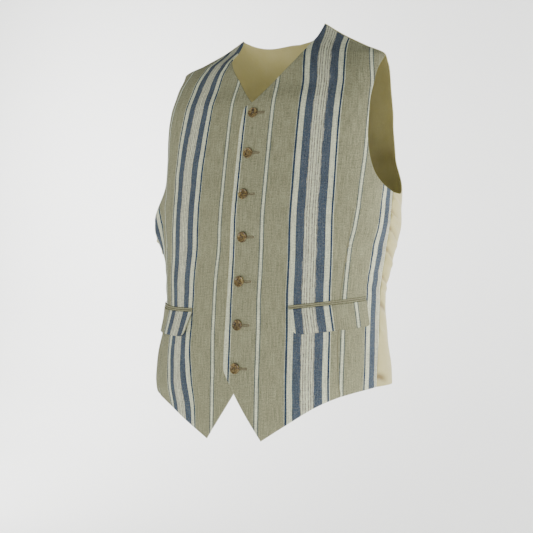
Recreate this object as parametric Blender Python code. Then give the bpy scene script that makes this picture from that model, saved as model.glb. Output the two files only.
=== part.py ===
# A striped linen gilet with a satin back, worn on a general figure, standing open at neck,
# armholes and hem. Metres, +Z up. The wearer faces -Y, so the garment's left front is at +X.
# The origin is midway between the two shoulder seams.

import math

import bmesh
import bpy
import numpy as np
from mathutils import Matrix, Vector

MM = 0.001

# Wall of each piece of cloth, in mm
FRONT_WALL = 2.0
BACK_WALL = 1.5
JET_WALL = 1.4
FLAP_WALL = 2.2

# Gaps between pieces, in mm
SEAM_GAP = 0.3
CLOSING_GAP = 0.5
LYING_GAP = 0.4

# Grid of a front and of the back: rows 0 to 20 run up the side seam, 20 to 36 up the armhole
ROWS = 36
SEAM_ROWS = 20
FRONT_COLUMNS = 18
BACK_HALF_COLUMNS = 13
SHOULDER_COLUMNS = 6
EVENING_ROUNDS = 60

# The worn form as level sections, in mm. A section is two half ovals that meet at the side:
# roundness 2 is an ellipse, more is squarer, less comes to a ridge, as along the shoulder.
# height, half width, front y, front roundness, side y, back y, back roundness
SECTIONS = [
    (-614, 180, -156, 1.95, -20, 96, 2.3),
    (-556, 183, -153, 2.10, -21, 102, 2.5),
    (-504, 185, -150, 2.40, -24, 92, 2.4),
    (-452, 183, -146, 2.40, -29, 84, 2.2),
    (-395, 181, -142, 2.32, -29, 84, 1.98),
    (-333, 187, -135, 2.40, -20, 97, 2.35),
    (-276, 192, -131, 2.45, -12, 113, 2.75),
    (-234, 192, -124, 2.45, -13, 118, 2.8),
    (-182, 188, -114, 2.65, -16, 112, 2.5),
    (-129, 188, -103, 2.75, -15, 101, 2.3),
    (-102, 187, -96, 2.70, -12, 96, 2.2),
    (-67, 184, -79, 2.45, -6, 88, 2.0),
    (-47, 182, -73, 1.90, -4, 83, 1.8),
    (-31, 178, -68, 1.40, -7, 78, 1.6),
    (-12, 143, -56, 1.25, -2, 71, 1.5),
    (8, 106, -31, 1.20, 3, 61, 1.5),
    (31, 70, -6, 1.20, 8, 44, 1.6),
]
TIP_HEIGHT = -31
NECK_HEIGHT = 31

# Outlines of the pieces, in mm: distance round the cloth from the centre front, and height
# Front edge, from the pointed hem up to the top button, then the neckline to the shoulder
# row, distance, height
FRONT_EDGE = [
    (0, 45, -600),
    (5, -1.5, -530),
    (6, -11, -513),
    (7, -17.8, -497),
    (9, -18.2, -460),
    (13, -16.2, -380),
    (20, -16.2, -240),
    (25, -16, -158),
    (28, -12, -110),
    (29, 1, -101),
    (31, 34, -64),
    (33, 58, -31),
    (34, 67.5, -10),
    (35, 70, 8),
    (36, 71.5, 31),
]
# Side seam, from the hem to the armhole
# row, distance, height
SIDE_SEAM = [
    (0, 227, -524),
    (3, 230, -481),
    (7, 235, -424),
    (11, 236, -366),
    (14, 240, -323),
    (17, 249, -280),
    (20, 254, -237),
]
# Front half of the armhole, from the side seam to the shoulder tip
# row, distance, height
FRONT_ARMHOLE = [
    (20, 254, -237),
    (22, 224, -227.5),
    (24, 202, -209),
    (26, 191, -181),
    (28, 186, -151),
    (31, 184.5, -106),
    (34, 185, -61),
    (36, 191.2, -31),
]
# Back half of the armhole, from the side seam to the shoulder tip
# row, distance, height
BACK_ARMHOLE = [
    (20, 254, -237),
    (22, 283, -238),
    (24, 304, -226),
    (26, 312, -198),
    (29, 299, -137),
    (32, 262, -80),
    (34, 227, -51),
    (36, 191.2, -31),
]
# Hem of a front, from the point to the side seam
# share of the columns, distance, height
FRONT_HEM = [
    (0.0, 45, -600),
    (0.2, 80, -577),
    (0.45, 124, -550),
    (0.6, 152, -538),
    (0.8, 189, -529),
    (1.0, 227, -524),
]
# Back neckline, from the shoulder to the centre back
# column, distance from the centre back, height
BACK_NECK = [
    (6, 82.4, 31),
    (8, 63, 24.5),
    (10.5, 34, 17),
    (13, 0, 14),
]
CENTRE_BACK = [
    (0, 0, -528),
    (20, 0, -240),
    (36, 0, 14),
]

# How the cloth hangs on the right side, in mm: the neck end of the shoulder sits lower and
# further out, the lower edge stands out and hangs down at the side, and so does the corner
# under the arm
RIGHT_NECK_DROP = 13
RIGHT_NECK_OUT = 6
RIGHT_HEM_FLARE = 14
RIGHT_SIDE_DROP = 13
RIGHT_UNDERARM_FLARE = 30
RIGHT_UNDERARM_FORWARD = 18
RIGHT_UNDERARM_DROP = 35

# Gathered folds of the back beside each side seam: they reach full depth FOLD_START from the
# seam and slope down by FOLD_SLOPE of their length
FOLD_START = 12
FOLD_SLOPE = 0.18
# height, length of the fold, depth, half breadth
LEFT_FOLDS = [
    (-262, 46, 1.6, 9),
    (-296, 70, 2.4, 11),
    (-327, 54, 2.0, 9),
    (-356, 84, 2.6, 12),
    (-390, 60, 2.0, 10),
    (-424, 44, 1.4, 10),
]
RIGHT_FOLDS = [
    (-268, 58, 1.8, 10),
    (-301, 48, 2.2, 10),
    (-335, 80, 2.4, 12),
    (-371, 62, 2.2, 10),
    (-408, 50, 1.6, 11),
]

# The left front lies over the right one where they button
OVERLAP_REACH = 24
OVERLAP_FADE = 40

# A pocket's jetted mouth and flap, as distance and height of the mouth's two ends
MOUTH_INNER = (82, -407)
MOUTH_OUTER = (198, -394)
JET_BREADTH = 5.6
JET_CROWN = 0.5
FLAP_LENGTH = 37.5
FLAP_SKEW = 2
# Breadth and height of a flap's rounded corners
FLAP_INNER_ROUND = (12, 17)
FLAP_OUTER_ROUND = (4, 4)
FLAP_COLUMNS = 16
FLAP_ROWS = 4
# How far a flap's lower corners stand off, inner and outer; the lift of the inner one fades
# out within STAND_FADE of the flap's width and grows by STAND_POWER down its length
FLAP_STAND = {"left": (1.0, 1.2), "right": (6.0, 1.2)}
STAND_FADE = 0.18
STAND_POWER = 1.5
# Share of even column spacing; the rest crowds the columns towards the rounded corners
EVEN_SPACING = 0.35

# Buttons, a little outside the centre front on the left front
# distance, height
BUTTONS = [
    (5.3, -118.8),
    (4, -180),
    (2.6, -241.7),
    (5.7, -305.2),
    (4, -370.6),
    (4.3, -434),
    (2.8, -497),
]
# Each button is sewn on a little further round than the one above it
BUTTON_TURN = math.radians(17)
BUTTON_RADIUS = 8.0
BUTTON_THICKNESS = 3.0
BUTTON_DISH = 0.8
# The turned profile: radii of the dish's floor, the rim, the outer bevels and the foot, and
# the heights of the bevels' ends
DISH_RADIUS = 5.4
RIM_INSIDE = 6.4
RIM_OUTSIDE = 7.4
FOOT_BEVEL = 7.3
FOOT_RADIUS = 6.3
RIM_DROP = 0.8
FOOT_RISE = 0.4
HOLE_RADIUS = 0.85
HOLE_SPACING = 1.9
BUTTON_SIDES = 20
HOLE_SIDES = 8


# Helpers


def smooth_table(table, at):
    # Reads the columns after the first at the given places, on a curve without overshoot
    rows = np.array(table, dtype=float)
    knots = rows[:, 0]
    values = rows[:, 1:]
    at = np.clip(np.asarray(at, dtype=float), knots[0], knots[-1])
    steps = np.diff(knots)[:, None]
    slopes = np.diff(values, axis=0) / steps
    tangents = np.zeros_like(values)
    tangents[0] = slopes[0]
    tangents[-1] = slopes[-1]
    before = slopes[:-1]
    after = slopes[1:]
    same_way = before * after > 0
    weight_before = 2 * steps[1:] + steps[:-1]
    weight_after = steps[1:] + 2 * steps[:-1]
    with np.errstate(divide="ignore", invalid="ignore"):
        mean = (weight_before + weight_after) / (weight_before / before + weight_after / after)
    tangents[1:-1] = np.where(same_way, mean, 0)
    cell = np.clip(np.searchsorted(knots, at, side="right") - 1, 0, len(knots) - 2)
    t = ((at - knots[cell]) / steps[cell, 0])[:, None]
    step = steps[cell]
    start = values[cell] * (1 + 2 * t) * (1 - t) ** 2 + tangents[cell] * step * t * (1 - t) ** 2
    end = values[cell + 1] * t * t * (3 - 2 * t) + tangents[cell + 1] * step * t * t * (t - 1)
    return start + end


def rise(value, start, end):
    # From 0 at the start to 1 at the end, smoothly; the end may be the lower of the two
    t = np.clip((value - start) / (end - start), 0, 1)
    return t * t * (3 - 2 * t)


def material(name, colour, roughness, metallic=0.0, sheen=0.0):
    new = bpy.data.materials.new(name)
    new.use_nodes = True
    shader = new.node_tree.nodes["Principled BSDF"]
    shader.inputs["Base Color"].default_value = (*colour, 1)
    shader.inputs["Roughness"].default_value = roughness
    shader.inputs["Metallic"].default_value = metallic
    shader.inputs["Sheen Weight"].default_value = sheen
    new.diffuse_color = (*colour, 1)
    return new


# The worn form

SECTION_POINTS = 160
QUARTER = np.linspace(0, math.pi / 2, SECTION_POINTS)


def sections(heights):
    # The left half of each level section, from the centre front round to the centre back
    columns = smooth_table(SECTIONS, heights).T[:, :, None]
    half_width, front, front_round, side, back, back_round = columns
    sine = np.sin(QUARTER)[None]
    cosine = np.clip(np.cos(QUARTER), 0, 1)[None]
    front_x = half_width * sine ** (2 / front_round)
    front_y = side - (side - front) * cosine ** (2 / front_round)
    back_x = (half_width * sine ** (2 / back_round))[:, ::-1]
    back_y = (side + (back - side) * cosine ** (2 / back_round))[:, ::-1]
    x = np.hstack([front_x, back_x[:, 1:]])
    y = np.hstack([front_y, back_y[:, 1:]])
    steps = np.hypot(np.diff(x, axis=1), np.diff(y, axis=1))
    length = np.hstack([np.zeros((len(x), 1)), np.cumsum(steps, axis=1)])
    return x, y, length


def front_length(heights):
    return sections(heights)[2][:, SECTION_POINTS - 1]


def half_girth(heights):
    return sections(heights)[2][:, -1]


def turn_of(distance, heights):
    # 0 at the centre front, 1 at the side, 2 at the centre back
    length = sections(heights)[2]
    to_side = length[:, SECTION_POINTS - 1]
    to_back = length[:, -1]
    behind = 1 + (distance - to_side) / (to_back - to_side)
    return np.where(distance <= to_side, distance / to_side, behind)


def form_point(turn, heights, side):
    # A point of the form, in mm, with the way the right side hangs
    heights = np.clip(heights, SECTIONS[0][0], SECTIONS[-1][0])
    x, y, length = sections(heights)
    to_side = length[:, SECTION_POINTS - 1]
    to_back = length[:, -1]
    size = np.abs(turn)
    distance = np.where(size <= 1, size * to_side, to_side + (size - 1) * (to_back - to_side))
    place = np.empty((len(turn), 3))
    for row, wanted in enumerate(distance):
        place[row, 0] = np.interp(wanted, length[row], x[row])
        place[row, 1] = np.interp(wanted, length[row], y[row])
    place[:, 0] *= np.sign(turn) * side
    place[:, 2] = heights
    rightward = -place[:, 0]
    at_side = rise(rightward, 0, 165)
    at_neck = rise(rightward, 0, 60) * rise(heights, -52, 31)
    under_arm = rise(size, 0.78, 1.0) * rise(size, 1.55, 1.05) * (rightward > 0)
    corner_out = under_arm * rise(heights, -185, -240) * rise(heights, -405, -245)
    corner_down = under_arm * rise(heights, -150, -230) * rise(heights, -345, -245)
    place[:, 0] -= RIGHT_HEM_FLARE * at_side * rise(heights, -400, -530)
    place[:, 0] -= RIGHT_UNDERARM_FLARE * corner_out
    place[:, 1] -= RIGHT_UNDERARM_FORWARD * corner_out
    place[:, 0] -= RIGHT_NECK_OUT * at_neck
    place[:, 2] -= RIGHT_NECK_DROP * at_neck
    place[:, 2] -= RIGHT_SIDE_DROP * at_side * rise(heights, -292, -412)
    place[:, 2] -= RIGHT_UNDERARM_DROP * corner_down
    return place


# Steps round and up the form, either way, over which its slope is read
TURN_STEP = 0.01
HEIGHT_STEP = 2


def on_cloth(distance, heights, side, offset, pull=0.0):
    # Points at a distance from the centre front and a height, in mm, moved out by an offset
    # and pulled along the cloth, towards the back where the pull is positive
    distance = np.asarray(distance, dtype=float)
    heights = np.asarray(heights, dtype=float)
    turn = np.sign(distance) * turn_of(np.abs(distance), heights)
    turn = np.where(distance == 0, 1e-6, turn)
    place = form_point(turn, heights, side)
    ahead = form_point(turn + TURN_STEP, heights, side)
    across = ahead - form_point(turn - TURN_STEP, heights, side)
    above = form_point(turn, heights + HEIGHT_STEP, side)
    along = above - form_point(turn, heights - HEIGHT_STEP, side)
    normal = np.cross(across, along) * np.reshape(side, (-1, 1))
    normal /= np.linalg.norm(normal, axis=1)[:, None]
    across /= np.linalg.norm(across, axis=1)[:, None]
    return place + normal * np.reshape(offset, (-1, 1)) + across * np.reshape(pull, (-1, 1))


def slab(name, columns, rows, place, finish, collection):
    # A flat slab of one cell's depth, whose points are then placed by their shares of its
    # width and length (u, v) and by the side they are on (depth 0 outside, 1 inside)
    bm = bmesh.new()
    bmesh.ops.create_grid(bm, x_segments=columns, y_segments=rows, size=1)
    made = bmesh.ops.extrude_face_region(bm, geom=bm.faces[:], use_keep_orig=True)
    inside = [item for item in made["geom"] if isinstance(item, bmesh.types.BMVert)]
    bmesh.ops.translate(bm, verts=inside, vec=(0, 0, -1))
    bmesh.ops.recalc_face_normals(bm, faces=bm.faces[:])
    shares = np.array([vertex.co[:] for vertex in bm.verts])
    u = (shares[:, 0] + 1) / 2
    v = (shares[:, 1] + 1) / 2
    depth = -shares[:, 2]
    for vertex, point in zip(bm.verts, place(u, v, depth)):
        vertex.co = Vector(point) * MM
    mesh = bpy.data.meshes.new(name)
    bm.to_mesh(mesh)
    bm.free()
    mesh.materials.append(finish)
    mesh.shade_smooth()
    mesh.set_sharp_from_angle(angle=math.radians(50))
    piece = bpy.data.objects.new(name, mesh)
    collection.objects.link(piece)
    return piece


def patch(columns, low_side, high_side, bottom, top):
    # A grid of (distance, height) between four edges; low_side and high_side have a point for
    # each row, bottom and top one for each column. Its inner points are then evened out, each
    # between its neighbours, with a weight that keeps cells from folding over at a corner
    u = np.linspace(0, 1, columns + 1)[None, :, None]
    v = np.linspace(0, 1, ROWS + 1)[:, None, None]
    sides = (1 - u) * low_side[:, None] + u * high_side[:, None]
    ends = (1 - v) * bottom[None] + v * top[None]
    low_end = (1 - v) * bottom[0] + v * top[0]
    high_end = (1 - v) * bottom[-1] + v * top[-1]
    grid = sides + ends - (1 - u) * low_end - u * high_end
    for _ in range(EVENING_ROUNDS):
        up = grid[2:, 1:-1] - grid[:-2, 1:-1]
        along = grid[1:-1, 2:] - grid[1:-1, :-2]
        steep = np.sum(up * up, axis=2)[:, :, None]
        wide = np.sum(along * along, axis=2)[:, :, None]
        lean = np.sum(up * along, axis=2)[:, :, None]
        beside = grid[1:-1, 2:] + grid[1:-1, :-2]
        stacked = grid[2:, 1:-1] + grid[:-2, 1:-1]
        corners = grid[2:, 2:] - grid[2:, :-2] - grid[:-2, 2:] + grid[:-2, :-2]
        even = steep * beside + wide * stacked - lean * corners / 2
        grid[1:-1, 1:-1] = even / (2 * (steep + wide))
    return grid


def read_grid(grid, u, v):
    # The grid's distances and heights at the shares of its width and length
    row = np.rint(v * (grid.shape[0] - 1)).astype(int)
    column = np.rint(u * (grid.shape[1] - 1)).astype(int)
    return grid[row, column, 0], grid[row, column, 1]


def seam_pull(v, from_edge):
    # Half of a seam's gap, along the side seam and along the shoulder seam and neck
    on_side = (from_edge < 1e-6) & (v * ROWS <= SEAM_ROWS + 1e-6)
    on_shoulder = v > 1 - 1e-6
    return SEAM_GAP / 2 * (on_side | on_shoulder)


def seam_then(armhole):
    row = np.arange(ROWS + 1)
    seam = smooth_table(SIDE_SEAM, row)
    above = smooth_table(armhole, row)
    return np.where(row[:, None] <= SEAM_ROWS, seam, above)


# Fronts: striped linen, each cut in one piece from shoulder to pointed hem


def front_outline():
    # From the front edge (first column) to the side and armhole (last column)
    share = np.linspace(0, 1, FRONT_COLUMNS + 1)
    edge = smooth_table(FRONT_EDGE, np.arange(ROWS + 1))
    side = seam_then(FRONT_ARMHOLE)
    hem = smooth_table(FRONT_HEM, share)
    seam_height = NECK_HEIGHT + (TIP_HEIGHT - NECK_HEIGHT) * share
    shoulder = np.column_stack([front_length(seam_height), seam_height])
    return patch(FRONT_COLUMNS, edge, side, hem, shoulder)


FRONT_GRID = front_outline()


def place_left_front(u, v, depth):
    distance, height = read_grid(FRONT_GRID, u, v)
    over = rise(distance, OVERLAP_REACH + OVERLAP_FADE, OVERLAP_REACH)
    offset = (FRONT_WALL + CLOSING_GAP) * over - FRONT_WALL * depth
    return on_cloth(distance, height, 1, offset, -seam_pull(v, 1 - u))


def place_right_front(u, v, depth):
    distance, height = read_grid(FRONT_GRID, 1 - u, v)
    return on_cloth(distance, height, -1, -FRONT_WALL * depth, -seam_pull(v, u))


# Back: satin, cut in one piece, gathered a little beside the side seams


def back_outline():
    # From the side and armhole (first column) to the centre back (last column), measured
    # from the centre back
    column = np.arange(BACK_HALF_COLUMNS + 1)
    side = seam_then(BACK_ARMHOLE)
    side[:, 0] = half_girth(side[:, 1]) - side[:, 0]
    centre = smooth_table(CENTRE_BACK, np.arange(ROWS + 1))
    hem = side[0] + (centre[0] - side[0]) * (column / BACK_HALF_COLUMNS)[:, None]
    along_seam = np.clip(column / SHOULDER_COLUMNS, 0, 1)
    seam_height = TIP_HEIGHT + (NECK_HEIGHT - TIP_HEIGHT) * along_seam
    shoulder = np.column_stack([half_girth(seam_height) - front_length(seam_height), seam_height])
    neck = smooth_table(BACK_NECK, column)
    top = np.where(column[:, None] <= SHOULDER_COLUMNS, shoulder, neck)
    return patch(BACK_HALF_COLUMNS, side, centre, hem, top)


BACK_GRID = back_outline()


def fold_offset(folds, from_seam, height):
    # Soft ridges that start at the side seam and run out towards the centre back
    total = np.zeros(len(height))
    for fold_height, length, depth, half_breadth in folds:
        fade = np.clip(from_seam / FOLD_START, 0, 1) * rise(from_seam, length, 0)
        lean = fold_height - FOLD_SLOPE * from_seam
        total += depth * fade * np.exp(-(((height - lean) / half_breadth) ** 2))
    return total


def place_back(u, v, depth):
    share = 1 - np.abs(2 * u - 1)
    from_centre, height = read_grid(BACK_GRID, share, v)
    side = np.where(u <= 0.5, 1, -1)
    girth = half_girth(height)
    distance = girth - from_centre
    seam = smooth_table([(h, d) for row, d, h in SIDE_SEAM], height)[:, 0]
    from_seam = np.clip(distance - seam, 0, None)
    folds = np.where(
        side > 0,
        fold_offset(LEFT_FOLDS, from_seam, height),
        fold_offset(RIGHT_FOLDS, from_seam, height),
    )
    return on_cloth(distance, height, side, folds - BACK_WALL * depth, seam_pull(v, share))


# Pockets: a narrow jetted mouth with a flap below it, on each front


def mouth_point(share, down):
    # Along the mouth from its inner end, and down the cloth from the mouth's middle line
    inner = np.array(MOUTH_INNER)
    outer = np.array(MOUTH_OUTER)
    run = (outer - inner) / np.linalg.norm(outer - inner)
    below = np.array([run[1], -run[0]])
    below = below + run * FLAP_SKEW / FLAP_LENGTH
    place = inner + (outer - inner) * share[:, None] + below * down[:, None]
    return place[:, 0], place[:, 1]


def mirrored(place, side):
    # Runs a slab the other way along for the right side, so that its outside stays out
    if side > 0:
        return place
    return lambda u, v, depth: place(1 - u, v, depth)


def place_jet(side):
    def place(u, v, depth):
        down = (0.5 - v) * JET_BREADTH
        crown = JET_CROWN * (1 - np.abs(2 * v - 1)) * (1 - depth)
        distance, height = mouth_point(u, down)
        offset = LYING_GAP + (JET_WALL - JET_CROWN) * (1 - depth) + crown
        return on_cloth(distance, height, side, offset)
    return place


def rounded_end(from_end, corner):
    # How much shorter the flap is near an end with a rounded corner
    breadth, height = corner
    inside = np.clip(1 - from_end / breadth, 0, 1)
    return height * (1 - np.sqrt(1 - inside ** 2))


def place_flap(side, stand):
    width = math.dist(MOUTH_INNER, MOUTH_OUTER)

    def place(u, v, depth):
        eased = 0.5 - 0.5 * np.cos(math.pi * u)
        share = EVEN_SPACING * u + (1 - EVEN_SPACING) * eased
        cut = rounded_end(share * width, FLAP_INNER_ROUND)
        cut = np.maximum(cut, rounded_end((1 - share) * width, FLAP_OUTER_ROUND))
        top = JET_BREADTH / 2 + SEAM_GAP
        down = top + (FLAP_LENGTH - cut) * (1 - v)
        distance, height = mouth_point(share, down)
        inner_stand, outer_stand = stand
        inner_share = np.exp(-share / STAND_FADE)
        end_stand = outer_stand + (inner_stand - outer_stand) * inner_share
        lift = end_stand * (1 - v) ** STAND_POWER
        offset = LYING_GAP + lift + FLAP_WALL * (1 - depth)
        return on_cloth(distance, height, side, offset)
    return place


# Buttons: turned horn with a raised rim, a dished middle and four holes


def button_mesh(finish, collection, cutters):
    profile = [
        (0.0, BUTTON_THICKNESS - BUTTON_DISH),
        (DISH_RADIUS, BUTTON_THICKNESS - BUTTON_DISH),
        (RIM_INSIDE, BUTTON_THICKNESS),
        (RIM_OUTSIDE, BUTTON_THICKNESS),
        (BUTTON_RADIUS, BUTTON_THICKNESS - RIM_DROP),
        (FOOT_BEVEL, FOOT_RISE),
        (FOOT_RADIUS, 0.0),
        (0.0, 0.0),
    ]
    bm = bmesh.new()
    corners = [bm.verts.new((x * MM, 0, z * MM)) for x, z in profile]
    edges = [bm.edges.new(pair) for pair in zip(corners, corners[1:])]
    bmesh.ops.spin(
        bm,
        geom=corners + edges,
        axis=(0, 0, 1),
        cent=(0, 0, 0),
        angle=2 * math.pi,
        steps=BUTTON_SIDES,
        use_merge=True,
    )
    bmesh.ops.remove_doubles(bm, verts=bm.verts, dist=1e-5)
    bmesh.ops.recalc_face_normals(bm, faces=bm.faces)
    mesh = bpy.data.meshes.new("button")
    bm.to_mesh(mesh)
    bm.free()
    mesh.materials.append(finish)
    mesh.shade_smooth()
    mesh.set_sharp_from_angle(angle=math.radians(40))
    blank = bpy.data.objects.new("button_blank", mesh)
    cutters.objects.link(blank)

    bm = bmesh.new()
    for corner in range(4):
        angle = math.radians(45 + 90 * corner)
        place = Matrix.Translation((
            HOLE_SPACING * math.cos(angle) * MM,
            HOLE_SPACING * math.sin(angle) * MM,
            BUTTON_THICKNESS / 2 * MM,
        ))
        bmesh.ops.create_cone(
            bm,
            cap_ends=True,
            segments=HOLE_SIDES,
            radius1=HOLE_RADIUS * MM,
            radius2=HOLE_RADIUS * MM,
            depth=2 * BUTTON_THICKNESS * MM,
            matrix=place,
        )
    holes_mesh = bpy.data.meshes.new("button_holes")
    bm.to_mesh(holes_mesh)
    bm.free()
    holes = bpy.data.objects.new("button_holes", holes_mesh)
    cutters.objects.link(holes)
    for cutter in (blank, holes):
        cutter.hide_render = True
        cutter.display_type = "WIRE"

    drill = blank.modifiers.new("holes", "BOOLEAN")
    drill.operation = "DIFFERENCE"
    drill.solver = "EXACT"
    drill.object = holes
    bpy.context.view_layer.update()
    evaluated = blank.evaluated_get(bpy.context.evaluated_depsgraph_get())
    drilled = bpy.data.meshes.new_from_object(evaluated)
    drilled.name = "horn_button"
    return drilled


def place_button(number, distance, height, mesh, collection):
    seat = FRONT_WALL + CLOSING_GAP + LYING_GAP
    here = np.array([distance])
    at = np.array([height])
    foot = Vector(on_cloth(here, at, 1, np.array([seat]))[0]) * MM
    above = Vector(on_cloth(here, at, 1, np.array([2 * seat]))[0]) * MM
    outward = (above - foot).normalized()
    faced = outward.to_track_quat("Z", "Y")
    spun = Matrix.Rotation(BUTTON_TURN * number, 3, "Z").to_quaternion()
    button = bpy.data.objects.new(f"button_{number}", mesh)
    button.rotation_mode = "QUATERNION"
    button.rotation_quaternion = faced @ spun
    button.location = foot
    collection.objects.link(button)


# The whole gilet

for old in list(bpy.data.objects):
    bpy.data.objects.remove(old)

gilet = bpy.data.collections.new("gilet")
cutters = bpy.data.collections.new("cutters")
bpy.context.scene.collection.children.link(gilet)
bpy.context.scene.collection.children.link(cutters)

linen = material("striped_linen", (0.60, 0.51, 0.38), 0.85, sheen=0.2)
satin = material("cream_satin", (0.68, 0.60, 0.44), 0.42, sheen=0.1)
jetting = material("linen_jetting", (0.55, 0.46, 0.33), 0.85)
horn = material("brown_horn", (0.13, 0.07, 0.04), 0.35)

slab("front_left", FRONT_COLUMNS, ROWS, place_left_front, linen, gilet)
slab("front_right", FRONT_COLUMNS, ROWS, place_right_front, linen, gilet)
slab("back", 2 * BACK_HALF_COLUMNS, ROWS, place_back, satin, gilet)
for side_name, side_sign in (("left", 1), ("right", -1)):
    jet = mirrored(place_jet(side_sign), side_sign)
    flap = mirrored(place_flap(side_sign, FLAP_STAND[side_name]), side_sign)
    slab(f"jet_{side_name}", FLAP_COLUMNS, 2, jet, jetting, gilet)
    slab(f"flap_{side_name}", FLAP_COLUMNS, FLAP_ROWS, flap, linen, gilet)

horn_button = button_mesh(horn, gilet, cutters)
for button_number, (button_distance, button_height) in enumerate(BUTTONS, start=1):
    place_button(button_number, button_distance, button_height, horn_button, gilet)
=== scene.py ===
# The dressed gilet: striped linen fronts, a satin back, jetted flap pockets and horn buttons,
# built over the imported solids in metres. The wearer faces -Y and the left front is at +X.

import math

import bmesh
import bpy
import numpy as np
from mathutils import Matrix, Vector


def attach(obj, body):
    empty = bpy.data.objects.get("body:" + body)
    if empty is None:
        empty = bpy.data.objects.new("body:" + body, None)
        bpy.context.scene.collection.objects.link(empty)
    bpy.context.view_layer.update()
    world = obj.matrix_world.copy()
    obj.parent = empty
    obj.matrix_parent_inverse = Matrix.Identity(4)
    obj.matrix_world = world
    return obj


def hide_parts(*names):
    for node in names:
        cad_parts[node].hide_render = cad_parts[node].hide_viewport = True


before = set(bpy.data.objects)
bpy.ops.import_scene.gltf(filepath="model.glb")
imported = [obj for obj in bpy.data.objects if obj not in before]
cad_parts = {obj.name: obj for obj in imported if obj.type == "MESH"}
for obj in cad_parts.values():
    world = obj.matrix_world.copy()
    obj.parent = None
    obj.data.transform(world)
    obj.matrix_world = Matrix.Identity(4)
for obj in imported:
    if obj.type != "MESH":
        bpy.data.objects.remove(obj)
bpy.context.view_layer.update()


# Fronts
# Each front is one piece of striped linen from the shoulder to the pointed hem, canvassed and
# faced, so it lies smooth. One long dart takes in the waist, and the left front closes over
# the right one.

MM = 0.001

# The worn form as level sections in mm, each of two half ovals that meet at the side
# height, half width, front y, front roundness, side y, back y, back roundness
SECTIONS = [
    (-614, 180, -156, 1.95, -20, 96, 2.3),
    (-556, 183, -153, 2.10, -21, 102, 2.5),
    (-504, 185, -150, 2.40, -24, 92, 2.4),
    (-452, 183, -146, 2.40, -29, 84, 2.2),
    (-395, 181, -142, 2.32, -29, 84, 1.98),
    (-333, 187, -135, 2.40, -20, 97, 2.35),
    (-276, 192, -131, 2.45, -12, 113, 2.75),
    (-234, 192, -124, 2.45, -13, 118, 2.8),
    (-182, 188, -114, 2.65, -16, 112, 2.5),
    (-129, 188, -103, 2.75, -15, 101, 2.3),
    (-102, 187, -96, 2.70, -12, 96, 2.2),
    (-67, 184, -79, 2.45, -6, 88, 2.0),
    (-47, 182, -73, 1.90, -4, 83, 1.8),
    (-31, 178, -68, 1.40, -7, 78, 1.6),
    (-12, 143, -56, 1.25, -2, 71, 1.5),
    (8, 106, -31, 1.20, 3, 61, 1.5),
    (31, 70, -6, 1.20, 8, 44, 1.6),
]
TIP_HEIGHT = -31
NECK_HEIGHT = 31
# Steps round a quarter of a section, and how many points are placed at once
QUARTER = np.linspace(0, math.pi / 2, 120)
POINTS_AT_ONCE = 3000

# How the cloth hangs on the right side, in mm
RIGHT_NECK_DROP = 13
RIGHT_NECK_OUT = 6
RIGHT_HEM_FLARE = 14
RIGHT_SIDE_DROP = 13
RIGHT_UNDERARM_FLARE = 30
RIGHT_UNDERARM_FORWARD = 18
RIGHT_UNDERARM_DROP = 35
# Where each of them comes in: between two distances from the middle, or between two heights
SIDE_REACH = (0, 165)
NECK_REACH = (0, 60)
NECK_RISE = (-52, 31)
HEM_FLARE_FALL = (-400, -530)
SIDE_DROP_FALL = (-292, -412)
# The corner under the arm: where it comes in and goes out, as a turn that is 1 at the side,
# and the heights where its flare and its drop come in from above and from below
CORNER_IN, CORNER_OUT = (0.78, 1.0), (1.55, 1.05)
FLARE_FALL, FLARE_RISE = (-185, -240), (-405, -245)
DROP_FALL, DROP_RISE = (-150, -230), (-345, -245)


def smooth_table(table, at):
    # Reads the columns after the first at the given places, on a curve without overshoot
    rows = np.array(table, dtype=float)
    knots = rows[:, 0]
    values = rows[:, 1:]
    at = np.clip(np.asarray(at, dtype=float), knots[0], knots[-1])
    steps = np.diff(knots)[:, None]
    slopes = np.diff(values, axis=0) / steps
    tangents = np.zeros_like(values)
    tangents[0] = slopes[0]
    tangents[-1] = slopes[-1]
    before = slopes[:-1]
    after = slopes[1:]
    same_way = before * after > 0
    weight_before = 2 * steps[1:] + steps[:-1]
    weight_after = steps[1:] + 2 * steps[:-1]
    with np.errstate(divide="ignore", invalid="ignore"):
        mean = (weight_before + weight_after) / (weight_before / before + weight_after / after)
    tangents[1:-1] = np.where(same_way, mean, 0)
    cell = np.clip(np.searchsorted(knots, at, side="right") - 1, 0, len(knots) - 2)
    t = ((at - knots[cell]) / steps[cell, 0])[:, None]
    step = steps[cell]
    start = values[cell] * (1 + 2 * t) * (1 - t) ** 2 + tangents[cell] * step * t * (1 - t) ** 2
    end = values[cell + 1] * t * t * (3 - 2 * t) + tangents[cell + 1] * step * t * t * (t - 1)
    return start + end


def rise(value, start, end):
    # From 0 at the start to 1 at the end, smoothly; the end may be the lower of the two
    t = np.clip((value - start) / (end - start), 0, 1)
    return t * t * (3 - 2 * t)


def sections(heights):
    # The left half of each level section, from the centre front round to the centre back
    columns = smooth_table(SECTIONS, heights).T[:, :, None]
    half_width, front, front_round, side, back, back_round = columns
    sine = np.sin(QUARTER)[None]
    cosine = np.clip(np.cos(QUARTER), 0, 1)[None]
    front_x = half_width * sine ** (2 / front_round)
    front_y = side - (side - front) * cosine ** (2 / front_round)
    back_x = (half_width * sine ** (2 / back_round))[:, ::-1]
    back_y = (side + (back - side) * cosine ** (2 / back_round))[:, ::-1]
    x = np.hstack([front_x, back_x[:, 1:]])
    y = np.hstack([front_y, back_y[:, 1:]])
    steps = np.hypot(np.diff(x, axis=1), np.diff(y, axis=1))
    length = np.hstack([np.zeros((len(x), 1)), np.cumsum(steps, axis=1)])
    return x, y, length


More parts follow.
